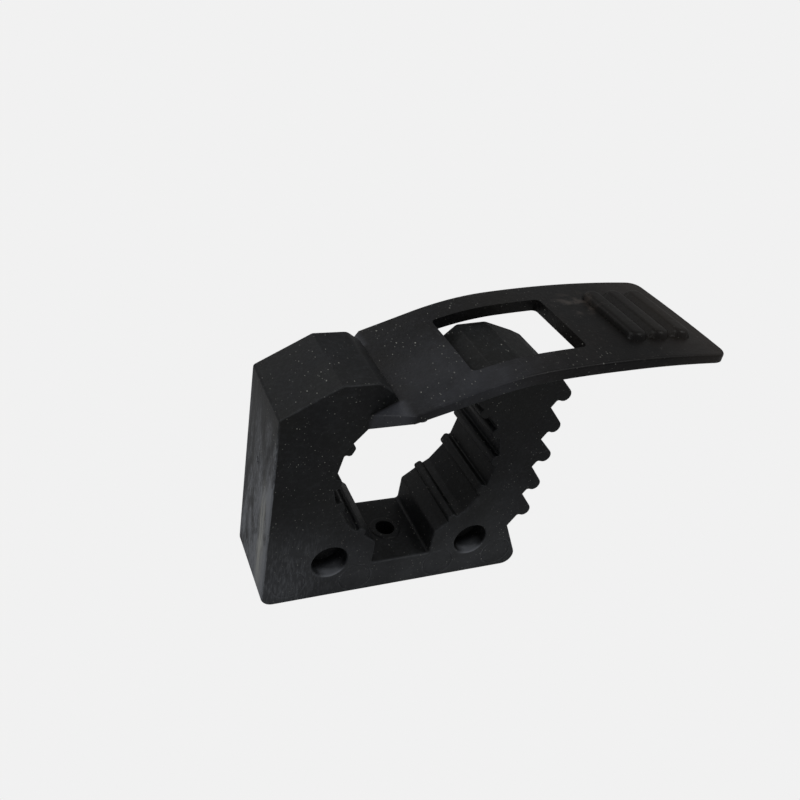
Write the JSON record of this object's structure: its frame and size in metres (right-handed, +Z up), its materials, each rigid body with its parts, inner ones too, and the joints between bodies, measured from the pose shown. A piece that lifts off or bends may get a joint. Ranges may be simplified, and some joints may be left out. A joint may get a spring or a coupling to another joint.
{
  "type": "rubber tool clamp",
  "caption": "Screw-down black rubber clamp that holds a round tool handle: two posts, a strap with a window that hooks over a toothed post, and a ribbed pull tab.",
  "frame": {"origin": "centre of the screw hole, on the bottom face of the base", "axes": "+Z is up along the screw hole, +X runs along the base from the hinge post to the toothed post, +Y runs across the clamp's width"},
  "size_m": [0.119, 0.043, 0.0785],
  "materials": {
    "black_rubber": "matte, dusty",
    "scuffed_rubber": "matte, scuffed",
    "inner_rubber": "matte",
    "ribbed_rubber": "matte, ribbed"
  },
  "bodies": {
    "body": {"floor_pad": "inner_rubber", "screw_seat": "inner_rubber", "hinge_side_foot": "black_rubber", "hook_side_foot": "black_rubber", "hinge_post": "black_rubber", "hinge_side_grips": "inner_rubber", "post_root": "black_rubber", "root_tooth": "black_rubber", "root_grip": "inner_rubber", "post_flex_web": "inner_rubber", "strap_root": "scuffed_rubber", "near_wing": "scuffed_rubber", "far_wing": "scuffed_rubber", "root_flex_web": "inner_rubber"},
    "toothed_post": {"hook_post": "black_rubber", "post_head": "scuffed_rubber", "hook_teeth": "black_rubber", "hook_side_grips": "inner_rubber"},
    "strap_neck_zone": {"strap_neck": "scuffed_rubber", "neck_flex_web": "inner_rubber"},
    "strap_window_zone": {"window_head": "scuffed_rubber", "near_rail": "scuffed_rubber", "far_rail": "scuffed_rubber", "latch_bar": "scuffed_rubber", "tab_flex_web": "inner_rubber"},
    "pull_tab_zone": {"grip_tab": "ribbed_rubber", "grip_ribs": "ribbed_rubber"}
  },
  "joints": [
    {"name": "strap_root_flex", "type": "hinge", "parent": "body", "child": "strap_neck_zone", "pos_m": [-0.00726, 0, 0.0639], "axis": [0, -1, 0], "range_deg": [-9, 72], "stiffness_Nm_per_rad": 0.3},
    {"name": "strap_neck_flex", "type": "hinge", "parent": "strap_neck_zone", "child": "strap_window_zone", "pos_m": [0.00324, 0, 0.06801], "axis": [0, -1, 0], "range_deg": [-8, 32], "stiffness_Nm_per_rad": 0.3},
    {"name": "tab_flex", "type": "hinge", "parent": "strap_window_zone", "child": "pull_tab_zone", "pos_m": [0.04703, 0, 0.07548], "axis": [0, -1, 0], "range_deg": [-20, 40], "stiffness_Nm_per_rad": 0.05},
    {"name": "post_flex", "type": "hinge", "parent": "body", "child": "toothed_post", "pos_m": [0.0272, 0, 0.0277], "axis": [0, -1, 0], "range_deg": [0, 1.5], "stiffness_Nm_per_rad": 0.5}
  ],
  "couplings": [
    {"joint": "strap_neck_flex", "follows": "strap_root_flex", "ratio": 0.33}
  ]
}
